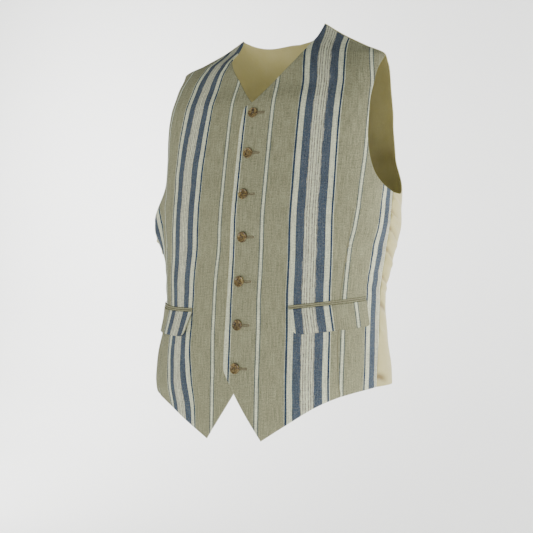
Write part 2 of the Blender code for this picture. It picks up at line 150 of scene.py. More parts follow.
def front_length(heights):
    return sections(heights)[2][:, len(QUARTER) - 1]


def half_girth(heights):
    return sections(heights)[2][:, -1]


def form_point(turn, heights, side):
    # A point of the form: turn is 0 at the centre front, 1 at the side, 2 at the centre back
    heights = np.clip(heights, SECTIONS[0][0], SECTIONS[-1][0])
    x, y, length = sections(heights)
    to_side = length[:, len(QUARTER) - 1]
    to_back = length[:, -1]
    size = np.abs(turn)
    distance = np.where(size <= 1, size * to_side, to_side + (size - 1) * (to_back - to_side))
    row = np.arange(len(turn))
    cell = np.clip((length < distance[:, None]).sum(axis=1) - 1, 0, length.shape[1] - 2)
    reach = length[row, cell + 1] - length[row, cell]
    share = np.clip((distance - length[row, cell]) / reach, 0, 1)
    place = np.empty((len(turn), 3))
    place[:, 0] = x[row, cell] + share * (x[row, cell + 1] - x[row, cell])
    place[:, 1] = y[row, cell] + share * (y[row, cell + 1] - y[row, cell])
    place[:, 0] *= np.sign(turn) * side
    place[:, 2] = heights
    rightward = -place[:, 0]
    at_side = rise(rightward, *SIDE_REACH)
    at_neck = rise(rightward, *NECK_REACH) * rise(heights, *NECK_RISE)
    under_arm = rise(size, *CORNER_IN) * rise(size, *CORNER_OUT) * (rightward > 0)
    corner_out = under_arm * rise(heights, *FLARE_FALL) * rise(heights, *FLARE_RISE)
    corner_down = under_arm * rise(heights, *DROP_FALL) * rise(heights, *DROP_RISE)
    place[:, 0] -= RIGHT_HEM_FLARE * at_side * rise(heights, *HEM_FLARE_FALL)
    place[:, 0] -= RIGHT_UNDERARM_FLARE * corner_out
    place[:, 1] -= RIGHT_UNDERARM_FORWARD * corner_out
    place[:, 0] -= RIGHT_NECK_OUT * at_neck
    place[:, 2] -= RIGHT_NECK_DROP * at_neck
    place[:, 2] -= RIGHT_SIDE_DROP * at_side * rise(heights, *SIDE_DROP_FALL)
    place[:, 2] -= RIGHT_UNDERARM_DROP * corner_down
    return place


def on_form(distance, heights, side):
    # Points of the form at a distance from the centre front and a height, with the way out
    # of the cloth and the way round it
    places, normals, rounds = [], [], []
    for start in range(0, len(distance), POINTS_AT_ONCE):
        part = slice(start, start + POINTS_AT_ONCE)
        here, level, hand = distance[part], heights[part], side[part]
        length = sections(level)[2]
        to_side = length[:, len(QUARTER) - 1]
        to_back = length[:, -1]
        size = np.abs(here)
        behind = 1 + (size - to_side) / (to_back - to_side)
        turn = np.sign(here) * np.where(size <= to_side, size / to_side, behind)
        turn = np.where(turn == 0, 1e-6, turn)
        across = form_point(turn + 0.01, level, hand) - form_point(turn - 0.01, level, hand)
        along = form_point(turn, level + 2, hand) - form_point(turn, level - 2, hand)
        normal = np.cross(across, along) * hand[:, None]
        places.append(form_point(turn, level, hand))
        normals.append(normal / np.linalg.norm(normal, axis=1)[:, None])
        rounds.append(across / np.linalg.norm(across, axis=1)[:, None])
    return np.vstack(places), np.vstack(normals), np.vstack(rounds)


def lay_out(low, high, bottom, top, u, v):
    # A grid of (distance, height) that fills in between its four edges
    across = u[None, :, None]
    up = v[:, None, None]
    sides = (1 - across) * low(v)[:, None] + across * high(v)[:, None]
    ends = (1 - up) * bottom(u)[None] + up * top(u)[None]
    low_end = (1 - up) * bottom(u[:1])[0] + up * top(u[:1])[0]
    high_end = (1 - up) * bottom(u[-1:])[0] + up * top(u[-1:])[0]
    return sides + ends - (1 - across) * low_end - across * high_end


EVENING_ROUNDS = 60


def cut_out(low, high, bottom, top, columns, rows, u, v):
    # The same grid, with its inner points evened out so that no cell folds over at a corner
    wide_u = np.linspace(0, 1, columns + 1)
    wide_v = np.linspace(0, 1, rows + 1)
    plain = lay_out(low, high, bottom, top, wide_u, wide_v)
    grid = plain.copy()
    for _ in range(EVENING_ROUNDS):
        up = grid[2:, 1:-1] - grid[:-2, 1:-1]
        along = grid[1:-1, 2:] - grid[1:-1, :-2]
        steep = np.sum(up * up, axis=2)[:, :, None]
        wide = np.sum(along * along, axis=2)[:, :, None]
        lean = np.sum(up * along, axis=2)[:, :, None]
        beside = grid[1:-1, 2:] + grid[1:-1, :-2]
        stacked = grid[2:, 1:-1] + grid[:-2, 1:-1]
        corners = grid[2:, 2:] - grid[2:, :-2] - grid[:-2, 2:] + grid[:-2, :-2]
        even = steep * beside + wide * stacked - lean * corners / 2
        grid[1:-1, 1:-1] = even / (2 * (steep + wide))
    shift = grid - plain
    fine = lay_out(low, high, bottom, top, u, v)
    for axis in range(2):
        by_row = np.array([np.interp(u, wide_u, line) for line in shift[:, :, axis]])
        fine[:, :, axis] += np.array([np.interp(v, wide_v, line) for line in by_row.T]).T
    return fine


def spread(*stops):
    # Shares from 0 to 1 in even runs between the stops, with one more close to each end
    runs = [np.linspace(start, end, count, endpoint=False) for start, end, count in stops]
    inner = np.concatenate(runs)[1:]
    rim = 0.25 * inner[0]
    return np.concatenate([[0, rim], inner, [1 - rim, 1]])


def as_object(bm, name):
    # Turns a finished bmesh into an object at the origin
    mesh = bpy.data.meshes.new(name)
    bm.to_mesh(mesh)
    bm.free()
    made = bpy.data.objects.new(name, mesh)
    bpy.context.scene.collection.objects.link(made)
    return made


# A shell's edge is pressed in on its outer and its inner face, as shares of the wall
OUTER_RIM = 0.3
INNER_RIM = -0.2
SHARP_ANGLE = math.radians(75)


def shell(name, grid, side, outside, wall, cloth, pull):
    # A closed shell of cloth. grid, side, outside, cloth and pull are given for each row and
    # column: the place, the side it is on, how far the outer face stands off the form, the
    # pattern's coordinates, and how far the cloth is pulled round the form
    rows, columns = grid.shape[0] - 1, grid.shape[1] - 1
    flat = [part.reshape(-1) for part in (grid[..., 0], grid[..., 1], side, outside, pull)]
    place, normal, across = on_form(*flat[:3])
    place = place + across * flat[4][:, None]
    bm = bmesh.new()
    bmesh.ops.create_grid(bm, x_segments=columns, y_segments=rows, size=1)
    made = bmesh.ops.extrude_face_region(bm, geom=bm.faces[:], use_keep_orig=True)
    inner = [item for item in made["geom"] if isinstance(item, bmesh.types.BMVert)]
    bmesh.ops.translate(bm, verts=inner, vec=(0, 0, -1))
    bmesh.ops.recalc_face_normals(bm, faces=bm.faces[:])
    shares = np.array([vertex.co[:] for vertex in bm.verts])
    column = np.rint((shares[:, 0] + 1) / 2 * columns).astype(int)
    row = np.rint((shares[:, 1] + 1) / 2 * rows).astype(int)
    at = row * (columns + 1) + column
    on_rim = (row == 0) | (row == rows) | (column == 0) | (column == columns)
    depth = -shares[:, 2]
    lowered = wall * np.where(on_rim, np.where(depth < 0.5, OUTER_RIM, INNER_RIM), 0)
    stand = flat[3][at] - wall * depth - lowered
    for vertex, point in zip(bm.verts, place[at] + normal[at] * stand[:, None]):
        vertex.co = Vector(point) * MM
    piece = as_object(bm, name)
    pattern = piece.data.attributes.new("cloth", "FLOAT_VECTOR", "POINT")
    pattern.data.foreach_set("vector", cloth.reshape(-1, 3)[at].astype(np.float32).ravel())
    piece.data.shade_smooth()
    piece.data.set_sharp_from_angle(angle=SHARP_ANGLE)
    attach(piece, "root")
    return piece


def one_side(name, side, grid, outside, wall, cloth, pull):
    # A shell on one side of the body. On the right its columns run the other way, so that its
    # outer face still looks out
    parts = [grid, np.full(outside.shape, float(side)), outside, cloth, pull]
    if side < 0:
        parts = [part[:, ::-1] for part in parts]
    grid, hand, outside, cloth, pull = parts
    return shell(name, grid, hand, outside, wall, cloth, pull)


def creases(table, distance, height):
    # Soft troughs (below 0) and ridges, each along a line that bows to one side
    total = np.zeros_like(distance)
    for start_d, start_h, end_d, end_h, depth, breadth, bow in table:
        run_d, run_h = end_d - start_d, end_h - start_h
        length = math.hypot(run_d, run_h)
        from_d, from_h = distance - start_d, height - start_h
        share = (from_d * run_d + from_h * run_h) / length**2
        aside = (from_d * run_h - from_h * run_d) / length
        aside = aside + bow * (1 - (2 * share - 1) ** 2)
        fade = rise(share, -0.1, 0.3) * rise(share, 1.1, 0.6)
        total += depth * fade * np.exp(-((aside / breadth) ** 2))
    return total


# The waves of the drape: how many, the shortest, how much longer the next is, both in mm, and
# how far the next is turned, in radians
DRAPE_WAVES = 5
SHORTEST_WAVE = 38
WAVE_STEP = 17
WAVE_TURN = 2.4


def drape(distance, height, size, seed):
    # The slow unevenness of worn cloth, a sum of waves that don't repeat over a panel
    total = np.zeros_like(distance)
    for number in range(DRAPE_WAVES):
        angle = seed + WAVE_TURN * number
        wave = SHORTEST_WAVE + WAVE_STEP * number
        reach = distance * math.cos(angle) + height * math.sin(angle)
        total += np.sin(2 * math.pi * reach / wave + 1.7 * seed + number) / DRAPE_WAVES
    return size * total


# Outlines of a front, in mm
# row, distance from the centre front, height
FRONT_EDGE = [
    (0, 45, -600),
    (5, -1.5, -530),
    (6, -11, -513),
    (7, -17.8, -497),
    (9, -18.2, -460),
    (13, -16.2, -380),
    (20, -16.2, -240),
    (25, -16, -158),
    (28, -12, -110),
    (29, 1, -101),
    (31, 34, -64),
    (33, 58, -31),
    (34, 67.5, -10),
    (35, 70, 8),
    (36, 71.5, 31),
]
SIDE_SEAM = [
    (0, 227, -524),
    (3, 230, -481),
    (7, 235, -424),
    (11, 236, -366),
    (14, 240, -323),
    (17, 249, -280),
    (20, 254, -237),
]
FRONT_ARMHOLE = [
    (20, 254, -237),
    (22, 224, -227.5),
    (24, 202, -209),
    (26, 191, -181),
    (28, 186, -151),
    (31, 184.5, -106),
    (34, 185, -61),
    (36, 191.2, -31),
]
# share of the width, distance, height
FRONT_HEM = [
    (0.0, 45, -600),
    (0.2, 80, -577),
    (0.45, 124, -550),
    (0.6, 152, -538),
    (0.8, 189, -529),
    (1.0, 227, -524),
]
ROWS = 36
SEAM_ROWS = 20
FRONT_COLUMNS = 18
FRONT_WALL = 2.0
CLOSING_GAP = 0.5
SEAM_GAP = 0.3
# The left front lies on the right one as far as the reach, and meets the form past the fade
OVERLAP_REACH = 24
OVERLAP_FADE = 40
FRONT_DRAPE = 0.45
# The front edge lies smooth as far as the first, and the cloth is uneven past the second
SMOOTH_EDGE = (22, 56)

# The waist dart, which runs down to the hem
# height, distance of its seam, how much cloth it takes in
DART = [
    (-614, 168, 25),
    (-460, 155, 24),
    (-400, 156, 21),
    (-320, 164, 14),
    (-290, 168, 5),
    (-262, 171, 0),
]
DART_TOP = -262
DART_GROOVE = 0.7
DART_HALF_BREADTH = 2.2
# The dart takes in most of its cloth at the seam, and the rest between these two distances
SEAM_SHARE = 0.78
EASED_IN = (175, 205)

# How the worn cloth is drawn off its even lines, in mm: on the left toward the neck, over
# the chest and at the hip, and on the right toward the neck, over the chest, out at the hip
# and in toward the hem
# height where it starts, height where it is full, the same for the distance, shift
LEFT_DRAWS = [
    (-110, 100, 0, 70, -34),
    (-260, -160, 140, 180, 6),
    (-100, 0, 140, 180, -6),
    (-380, -460, 0, 70, 2),
]
RIGHT_DRAWS = [
    (-110, 60, 0, 70, -17),
    (-220, -80, 30, 110, -13),
    (-310, -370, 10, 36, 3.5),
    (-440, -510, 10, 36, -3.5),
    (-350, -480, 90, 140, -13),
    (-460, -580, 40, 80, -16),
]

# Creases that the photograph shows or that such a front has, in mm
# start distance and height, end distance and height, depth, half breadth, bow
LEFT_CREASES = [
    (238, -238, 168, -300, -1.3, 10, 5),
    (222, -226, 150, -262, 0.9, 9, -4),
    (187, -150, 120, -178, -0.8, 12, 4),
    (185, -110, 110, -128, -0.6, 11, 3),
    (238, -352, 176, -362, -1.1, 7, 3),
    (236, -384, 168, -376, -1.2, 8, -4),
    (236, -330, 196, -326, 0.8, 6, 2),
    (160, -452, 205, -520, 0.9, 13, 5),
    (60, -470, 96, -560, -0.7, 15, 6),
    (-14, -272, 40, -262, 0.5, 8, 3),
    (-12, -208, 44, -196, -0.6, 9, 3),
    (-14, -338, 30, -334, -0.5, 8, -2),
    (66, -30, 118, -92, 0.8, 12, 5),
]
RIGHT_CREASES = [
    (242, -236, 150, -322, -1.5, 12, 8),
    (226, -230, 138, -282, 1.1, 9, -5),
    (187, -160, 112, -196, -0.9, 13, 5),
    (238, -360, 160, -352, -1.2, 9, 4),
    (236, -392, 150, -388, -0.9, 8, -3),
    (150, -440, 214, -518, 1.2, 14, 5),
    (90, -452, 128, -540, -0.8, 16, 5),
    (30, -300, 96, -332, -0.6, 12, 4),
    (60, -40, 108, -112, 0.8, 13, 5),
]

FINE_U = spread((0, 1, 84))
FINE_V = spread((0, SEAM_ROWS / ROWS, 110), (SEAM_ROWS / ROWS, 1, 88))


def side_then(armhole):
    # The edge that runs up the side seam and then round the given half of the armhole
    def edge(share):
        row = share * ROWS
        seam = smooth_table(SIDE_SEAM, row)
        above = smooth_table(armhole, row)
        return np.where(row[:, None] <= SEAM_ROWS, seam, above)
    return edge


def front_shoulder(share):
    height = NECK_HEIGHT + (TIP_HEIGHT - NECK_HEIGHT) * share
    return np.column_stack([front_length(height), height])


FRONT_GRID = cut_out(
    lambda share: smooth_table(FRONT_EDGE, share * ROWS),
    side_then(FRONT_ARMHOLE),
    lambda share: smooth_table(FRONT_HEM, share),
    front_shoulder,
    FRONT_COLUMNS,
    ROWS,
    FINE_U,
    FINE_V,
)


# Any distance that is too far from the dart to show its seam
CLEAR_OF_DART = 40


def linen_place(draws, distance, height):
    # The stripes' own coordinates: across them, along them, and how far from the dart's seam
    seam, intake = smooth_table(DART, height.ravel()).T.reshape(2, *height.shape)
    from_dart = distance - seam
    shift = np.zeros(distance.shape)
    for start, full, near, far, amount in draws:
        shift += amount * rise(height, start, full) * rise(distance, near, far)
    in_dart = (height < DART_TOP) & (from_dart > 0)
    shift -= in_dart * intake * (SEAM_SHARE + (1 - SEAM_SHARE) * rise(distance, *EASED_IN))
    beside = np.where(height < DART_TOP, from_dart, CLEAR_OF_DART)
    return np.stack([distance - shift, height, beside], axis=-1)


def front_pull(grid):
    # Half the seam's gap, off the side seam and off the shoulder seam
    pull = np.zeros(grid.shape[:2])
    pull[FINE_V <= SEAM_ROWS / ROWS + 1e-6, -1] = -SEAM_GAP / 2
    pull[-1, :] = -SEAM_GAP / 2
    return pull


def front(name, side, stand, draws, table, seed):
    distance, height = FRONT_GRID[..., 0], FRONT_GRID[..., 1]
    from_dart = distance - smooth_table(DART, height.ravel())[:, 0].reshape(height.shape)
    in_dart = rise(height, DART_TOP + 6, DART_TOP - 24)
    groove = -DART_GROOVE * in_dart * np.exp(-((from_dart / DART_HALF_BREADTH) ** 2))
    clear_of_closing = rise(distance, *SMOOTH_EDGE)
    uneven = creases(table, distance, height) + drape(distance, height, FRONT_DRAPE, seed)
    outside = stand + groove + uneven * clear_of_closing
    cloth = linen_place(draws, distance, height)
    pull = front_pull(FRONT_GRID)
    piece = one_side(name, side, FRONT_GRID, outside, FRONT_WALL, cloth, pull)
    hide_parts(name.replace("linen_", ""))
    return piece


closing = rise(FRONT_GRID[..., 0], OVERLAP_REACH + OVERLAP_FADE, OVERLAP_REACH)
over = (FRONT_WALL + CLOSING_GAP) * closing
left_front = front("linen_front_left", 1, over, LEFT_DRAWS, LEFT_CREASES, 0.6)
right_front = front("linen_front_right", -1, 0 * closing, RIGHT_DRAWS, RIGHT_CREASES, 2.3)


def srgb(code):
    # An sRGB hex colour as Blender's linear colour
    parts = [int(code[start:start + 2], 16) / 255 for start in (0, 2, 4)]
    return [c / 12.92 if c <= 0.04045 else ((c + 0.055) / 1.055) ** 2.4 for c in parts] + [1]


def add(tree, kind, sockets=(), **settings):
    # Adds a node with its settings. sockets gives its inputs, by name or in order: values,
    # outputs, or nodes, which stand for their first output
    node = tree.nodes.new("ShaderNode" + kind)
    for setting, value in settings.items():
        setattr(node, setting, value)
    inputs = sockets.items() if isinstance(sockets, dict) else enumerate(sockets)
    for socket, value in inputs:
        if isinstance(value, bpy.types.Node):
            value = value.outputs[0]
        if isinstance(value, bpy.types.NodeSocket):
            tree.links.new(value, node.inputs[socket])
        else:
            node.inputs[socket].default_value = value
    return node


def new_material(name, finish):
    # finish gives the shader's own sockets their values
    made = bpy.data.materials.new(name)
    made.use_nodes = True
    shader = made.node_tree.nodes["Principled BSDF"]
    for socket, value in finish.items():
        shader.inputs[socket].default_value = value
    return made, made.node_tree, shader


SAND = srgb("949376")
OFF_WHITE = srgb("d6d9ba")
MIDDLE_WHITE = srgb("c0beaa")
SLATE_BLUE = srgb("4b5766")
DARK_BLUE = srgb("3a475a")
GREY_BLUE = srgb("626a66")
STONE = srgb("8d8878")
# The dart's seam line; the same colour serves as painted shade along the jets and flaps
SEAM_AND_SHADE_LINE = srgb("5f5847")

# The stripes over one repeat of the warp, in mm from the middle of the narrow stripe, each
# to where the next starts
REPEAT = 142.2
FIRST_NARROW = 36.4
STRIPES = [
    (0.0, OFF_WHITE),
    (1.9, GREY_BLUE),
    (3.4, SAND),
    (40.0, OFF_WHITE),
    (41.1, DARK_BLUE),
    (43.9, OFF_WHITE),
    (52.0, SLATE_BLUE),
    (64.0, MIDDLE_WHITE),
    (83.2, SLATE_BLUE),
    (95.0, OFF_WHITE),
    (102.7, DARK_BLUE),
    (105.4, OFF_WHITE),
    (106.4, SAND),
    (138.8, GREY_BLUE),
    (140.3, OFF_WHITE),
]
# The pale middle among them: its middle line, half its breadth, and the way from one of its
# broken lines to the next
MIDDLE_PLACE = 73.6
MIDDLE_HALF = 9.4
LINE_SPACING = 3.4
# The blue beside it: from the middle line to the middle of the blue, and half its breadth
BLUE_PLACE = 15.6
BLUE_HALF = 6.0
# Where each stripe at the front edge starts, in mm from the centre front, toward the edge
EDGE_STRIPES = [(6.0, SAND), (-6.2, OFF_WHITE), (-7.2, DARK_BLUE), (-10.1, OFF_WHITE)]
# Plain weave, 0.55 mm from thread to thread in the real cloth and drawn coarser to show
THREAD_SPACING = 0.9


def woven_noise(tree, across, along, thread, length, seed, detail=2.0):
    # Noise drawn out along the warp: thread is its breadth and length its length, in mm
    by_thread = add(tree, "Math", (across, thread), operation="DIVIDE")
    by_length = add(tree, "Math", (along, length), operation="DIVIDE")
    spot = add(tree, "CombineXYZ", (by_thread, by_length, seed))
    noise = {"Vector": spot, "Scale": 1.0, "Detail": detail, "Roughness": 0.55}
    return add(tree, "TexNoise", noise).outputs["Fac"]


def striped_linen():
    # Union of linen and cotton: a plain weave of slubby sand linen with warp stripes in blue
    # and bleached cotton. It is matt with a faint bloom, and the threads mottle it
    finish = {
        "Roughness": 0.88,
        "Specular IOR Level": 0.06,
        "Sheen Weight": 0.03,
        "Sheen Roughness": 0.5,
    }
    made, tree, shader = new_material("striped_linen_union", finish)
    cloth = add(tree, "Attribute", attribute_name="cloth")
    across, along, beside = add(tree, "SeparateXYZ", (cloth.outputs["Vector"],)).outputs

    # Threads stray from a stripe's edge by a third of a millimetre, and by up to two where
    # the blue is spaced out into the pale middle. A map range's numbers are where it starts
    # and ends, and what it gives there
    stray = woven_noise(tree, across, along, 0.8, 24, 3.0)
    place = add(tree, "Math", (across, FIRST_NARROW), operation="SUBTRACT")
    place = add(tree, "Math", (place, REPEAT, 0.0), operation="WRAP")
    from_middle = add(tree, "Math", (place, MIDDLE_PLACE), operation="SUBTRACT")
    from_middle = add(tree, "Math", (from_middle,), operation="ABSOLUTE")
    feather = add(tree, "MapRange", (from_middle, 14.5, 17.0, 7.0, 0.7))
    strayed = add(tree, "Math", (stray, 0.5), operation="SUBTRACT")
    strayed = add(tree, "Math", (strayed, feather), operation="MULTIPLY")
    place = add(tree, "Math", (place, strayed), operation="ADD")
    place = add(tree, "Math", (place, REPEAT, 0.0), operation="WRAP")
    share = add(tree, "Math", (place, REPEAT), operation="DIVIDE")
    ramp = add(tree, "ValToRGB", {"Fac": share})
    ramp.color_ramp.interpolation = "CONSTANT"
    for number, (start, stripe) in enumerate(STRIPES):
        if number > 1:
            ramp.color_ramp.elements.new(start / REPEAT)
        element = ramp.color_ramp.elements[number]
        element.position = start / REPEAT
        element.color = stripe

    # The pale middle has bleached threads with broken lines of stone and slate between them
    middle = add(tree, "Math", (from_middle, MIDDLE_HALF), operation="LESS_THAN")
    line = add(tree, "Math", (from_middle, 1.1), operation="ADD")
    line = add(tree, "Math", (line, LINE_SPACING / 2), operation="PINGPONG")
    off_line = add(tree, "Math", (line, 1.0), operation="GREATER_THAN")
    bleached = add(tree, "Math", (middle, off_line), operation="MULTIPLY")
    on_line = add(tree, "Math", (line, 0.6), operation="LESS_THAN")
    dash = woven_noise(tree, across, along, 2.2, 7, 7.0, 1.0)
    broken = add(tree, "MapRange", (dash, 0.40, 0.56, 0.2, 1.0))
    dashed = add(tree, "Math", (middle, on_line), operation="MULTIPLY")
    dashed = add(tree, "Math", (dashed, broken), operation="MULTIPLY")
    dark = woven_noise(tree, across, along, 1.8, 3.5, 11.0, 1.0)
    dark = add(tree, "Math", (dark, 0.58), operation="GREATER_THAN")
    dark = add(tree, "Math", (dashed, dark), operation="MULTIPLY")

    # The blue has flecks where its threads cross the pale weft
    blue = add(tree, "Math", (from_middle, BLUE_PLACE, BLUE_HALF), operation="COMPARE")
    fleck = woven_noise(tree, across, along, 1.1, 2.4, 13.0, 1.0)
    fleck = add(tree, "MapRange", (fleck, 0.48, 0.66, 0.0, 0.34))
    flecked = add(tree, "Math", (blue, fleck), operation="MULTIPLY")

    # The front edge was cut through a white stripe beside a blue line. Each layer lies over
    # those before it
    layers = [(bleached, OFF_WHITE), (dashed, STONE), (dark, GREY_BLUE), (flecked, STONE)]
    strayed_edge = add(tree, "Math", (stray, 0.5, across), operation="MULTIPLY_ADD")
    for start, stripe in EDGE_STRIPES:
        past_start = add(tree, "Math", (strayed_edge, start), operation="LESS_THAN")
        layers.append((past_start, stripe))
    colour = ramp.outputs["Color"]
    for where, stripe in layers:
        colour = add(tree, "Mix", {0: where, 6: colour, 7: stripe}, data_type="RGBA").outputs[2]

    # Slubs: threads thicker and thinner, lighter and darker, along the warp and the weft
    slub = woven_noise(tree, across, along, 1.5, 26, 1.0, 3.0)
    weft = woven_noise(tree, across, along, 14, 1.7, 5.0, 3.0)
    speck = woven_noise(tree, across, along, 1.6, 2.0, 9.0, 2.0)
    tone = add(tree, "Math", (weft, 0.45, slub), operation="MULTIPLY_ADD")
    tone = add(tree, "Math", (tone, speck), operation="ADD")
    light = add(tree, "MapRange", (tone, 0.92, 1.53, 0.60, 1.40))
    shade = add(tree, "CombineColor", (light, light, light))
    mottled = add(
        tree,
        "Mix",
        {0: 1.0, 6: colour, 7: shade},
        data_type="RGBA",
        blend_type="MULTIPLY",
    )
    colour = mottled.outputs[2]

    # The dart's seam is a thin dark line. The same colour paints shade along the closed mouth and
    # the turned edges of a jet or a flap
    from_seam = add(tree, "Math", (beside,), operation="ABSOLUTE")
    seam_and_shade_line = add(tree, "MapRange", (from_seam, 0.4, 1.1, 0.5, 0.0))
    colour = add(tree, "Mix", {0: seam_and_shade_line, 6: colour, 7: SEAM_AND_SHADE_LINE}, data_type="RGBA").outputs[2]
    tree.links.new(colour, shader.inputs["Base Color"])

    # Warp and weft stand up in turn
    turns = 2 * math.pi / THREAD_SPACING
    warp_wave = add(tree, "Math", (across, turns), operation="MULTIPLY")
    warp_wave = add(tree, "Math", (warp_wave,), operation="SINE")
    weft_wave = add(tree, "Math", (along, turns), operation="MULTIPLY")
    weft_wave = add(tree, "Math", (weft_wave,), operation="SINE")
    weave = add(tree, "Math", (warp_wave, weft_wave), operation="MULTIPLY")
    relief = add(tree, "Math", (weave, 0.16, tone), operation="MULTIPLY_ADD")
    bump = add(tree, "Bump", {"Height": relief, "Strength": 0.35, "Distance": 0.0004})
    tree.links.new(bump.outputs[0], shader.inputs["Normal"])
    return made


linen = striped_linen()
left_front.data.materials.append(linen)
right_front.data.materials.append(linen)


# Back
# The back is champagne satin, cut in one piece and lined. It hangs from the shoulder seams,
# and its spare width is taken up in small folds beside the side seams.

# row, distance from the centre front, height
BACK_ARMHOLE = [
    (20, 254, -237),
    (22, 283, -238),
    (24, 304, -226),
    (26, 312, -198),
    (29, 299, -137),
    (32, 262, -80),
    (34, 227, -51),
    (36, 191.2, -31),
]
# column, distance from the centre back, height
BACK_NECK = [
    (6, 82.4, 31),
    (8, 63, 24.5),
    (10.5, 34, 17),
    (13, 0, 14),
]
CENTRE_BACK = [
    (0, 0, -528),
    (20, 0, -240),
    (36, 0, 14),
]
BACK_COLUMNS = 13
SHOULDER_COLUMNS = 6
BACK_WALL = 1.5
BACK_DRAPE = 0.8
# The satin's edge rides up on the seam along the shoulder
SHOULDER_LIFT = 1.0
# The creases sit lower on the right half, in mm
RIGHT_CREASES_DOWN = 9

# Gathered folds: they reach full depth FOLD_START from the seam and slope down as they go
FOLD_START = 12
FOLD_SLOPE = 0.18
# height, length of the fold, depth, half breadth
LEFT_FOLDS = [
    (-262, 46, 1.6, 9),
    (-296, 70, 2.4, 11),
    (-327, 54, 2.0, 9),
    (-356, 84, 2.6, 12),
    (-390, 60, 2.0, 10),
    (-424, 44, 1.4, 10),
]
RIGHT_FOLDS = [
    (-268, 58, 1.8, 10),
    (-301, 48, 2.2, 10),
    (-335, 80, 2.4, 12),
    (-371, 62, 2.2, 10),
    (-408, 50, 1.6, 11),
]
# Small sharp creases of the satin between those folds
# start distance and height, end distance and height, depth, half breadth, bow
BACK_CREASES = [
    (236, -242, 292, -262, 2.4, 4.6, 2),
    (236, -255, 290, -282, -2.9, 4.2, -2),
    (232, -270, 304, -288, 2.8, 4.8, 3),
    (230, -284, 284, -310, -3.1, 4.2, 2),
    (226, -301, 300, -318, 2.7, 4.8, -3),
    (224, -315, 280, -342, -3.0, 4.4, 2),
    (221, -336, 294, -350, 2.7, 5.0, 3),
    (219, -351, 274, -377, -2.7, 4.4, -2),
    (217, -374, 284, -385, 2.3, 5.0, 2),
    (216, -397, 270, -417, -2.3, 4.8, 2),
    (217, -431, 264, -454, 1.7, 5.4, -2),
    (210, -506, 262, -517, -2.6, 4.8, 2),
    (300, -250, 360, -296, -1.2, 11, 6),
    (306, -214, 372, -240, 1.0, 10, -5),
    (310, -180, 380, -178, -0.9, 12, 5),
    (276, -110, 360, -140, 0.9, 14, 6),
    (330, -330, 470, -352, -1.3, 15, 9),
    (320, -372, 450, -378, 1.2, 13, -7),
    (350, -410, 480, -404, -1.0, 14, 6),
    (300, -452, 350, -520, 0.9, 16, 5),
    (400, -300, 420, -500, 0.7, 22, 8),
    (410, -60, 430, -220, 0.7, 24, -6),
]


def back_shoulder(share):
    column = share * BACK_COLUMNS
    along = np.clip(column / SHOULDER_COLUMNS, 0, 1)
    height = TIP_HEIGHT + (NECK_HEIGHT - TIP_HEIGHT) * along
    shoulder = np.column_stack([half_girth(height) - front_length(height), height])
    neck = smooth_table(BACK_NECK, column)
    return np.where(column[:, None] <= SHOULDER_COLUMNS, shoulder, neck)


def back_side(share):
    edge = side_then(BACK_ARMHOLE)(share)
    edge[:, 0] = half_girth(edge[:, 1]) - edge[:, 0]
    return edge


def centre_back(share):
    return smooth_table(CENTRE_BACK, share * ROWS)


def back_hem(share):
    low, high = back_side(np.zeros(1))[0], centre_back(np.zeros(1))[0]
    return low + (high - low) * share[:, None]


BACK_U = np.concatenate([
    [0, 0.0028],
    np.linspace(0, SHOULDER_COLUMNS / BACK_COLUMNS, 45, endpoint=False)[1:],
    np.linspace(SHOULDER_COLUMNS / BACK_COLUMNS, 1, 36),
])
half_back = cut_out(
    back_side,
    centre_back,
    back_hem,
    back_shoulder,
    BACK_COLUMNS,
    ROWS,
    BACK_U,
    FINE_V,
)
# Half the way round the form at each point's height
half_round = half_girth(half_back[..., 1].ravel()).reshape(half_back.shape[:2])
half_back[..., 0] = half_round - half_back[..., 0]


def gathered(folds, from_seam, height):
    # Soft ridges that start at the side seam and run out towards the centre back
    total = np.zeros_like(height)
    for fold_height, length, depth, half_breadth in folds:
        fade = np.clip(from_seam / FOLD_START, 0, 1) * rise(from_seam, length, 0)
        lean = fold_height - FOLD_SLOPE * from_seam
        total += depth * fade * np.exp(-(((height - lean) / half_breadth) ** 2))
    return total


def half_back_parts(side, folds, seed):
    distance, height = half_back[..., 0], half_back[..., 1]
    seam_by_height = [(seam_height, away) for row, away, seam_height in SIDE_SEAM]
    seam = smooth_table(seam_by_height, height.ravel())[:, 0]
    from_seam = np.clip(distance - seam.reshape(height.shape), 0, None)
    shift = RIGHT_CREASES_DOWN if side < 0 else 0
    raised = gathered(folds, from_seam, height)
    raised = raised + creases(BACK_CREASES, distance, height + shift) * rise(from_seam, -3, 4)
    outside = raised + drape(distance, height, BACK_DRAPE, seed) * rise(from_seam, 0, 40)
    from_centre_back = half_round - distance
    pull = np.zeros(distance.shape)
    pull[FINE_V <= SEAM_ROWS / ROWS + 1e-6, 0] = SEAM_GAP / 2
    pull[-1, :] = SEAM_GAP / 2
    # The pattern's third coordinate is the height of the folds and creases, which the satin turns
    # into painted shade in the troughs
    cloth = np.stack([from_centre_back * side, height, raised], axis=-1)
    at_shoulder = rise(FINE_V, 0.975, 1.0)[:, None] * (BACK_U <= SHOULDER_COLUMNS / BACK_COLUMNS)
    outside = outside + SHOULDER_LIFT * at_shoulder
    hand = np.full(distance.shape, float(side))
    return [half_back, hand, outside, cloth, pull]


left_half = half_back_parts(1, LEFT_FOLDS, 1.1)
right_half = half_back_parts(-1, RIGHT_FOLDS, 3.4)
middle_off = (left_half[2][:, -1] + right_half[2][:, -1]) / 2
settle = rise(BACK_U, 0.7, 1.0)[None, :]
for half in (left_half, right_half):
    half[2] = half[2] + (middle_off - half[2][:, -1])[:, None] * settle
whole = [np.concatenate([a, b[:, -2::-1]], axis=1) for a, b in zip(left_half, right_half)]
whole_grid, whole_side, whole_out, whole_cloth, whole_pull = whole
back = shell("satin_back", whole_grid, whole_side, whole_out, BACK_WALL, whole_cloth, whole_pull)
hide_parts("back")


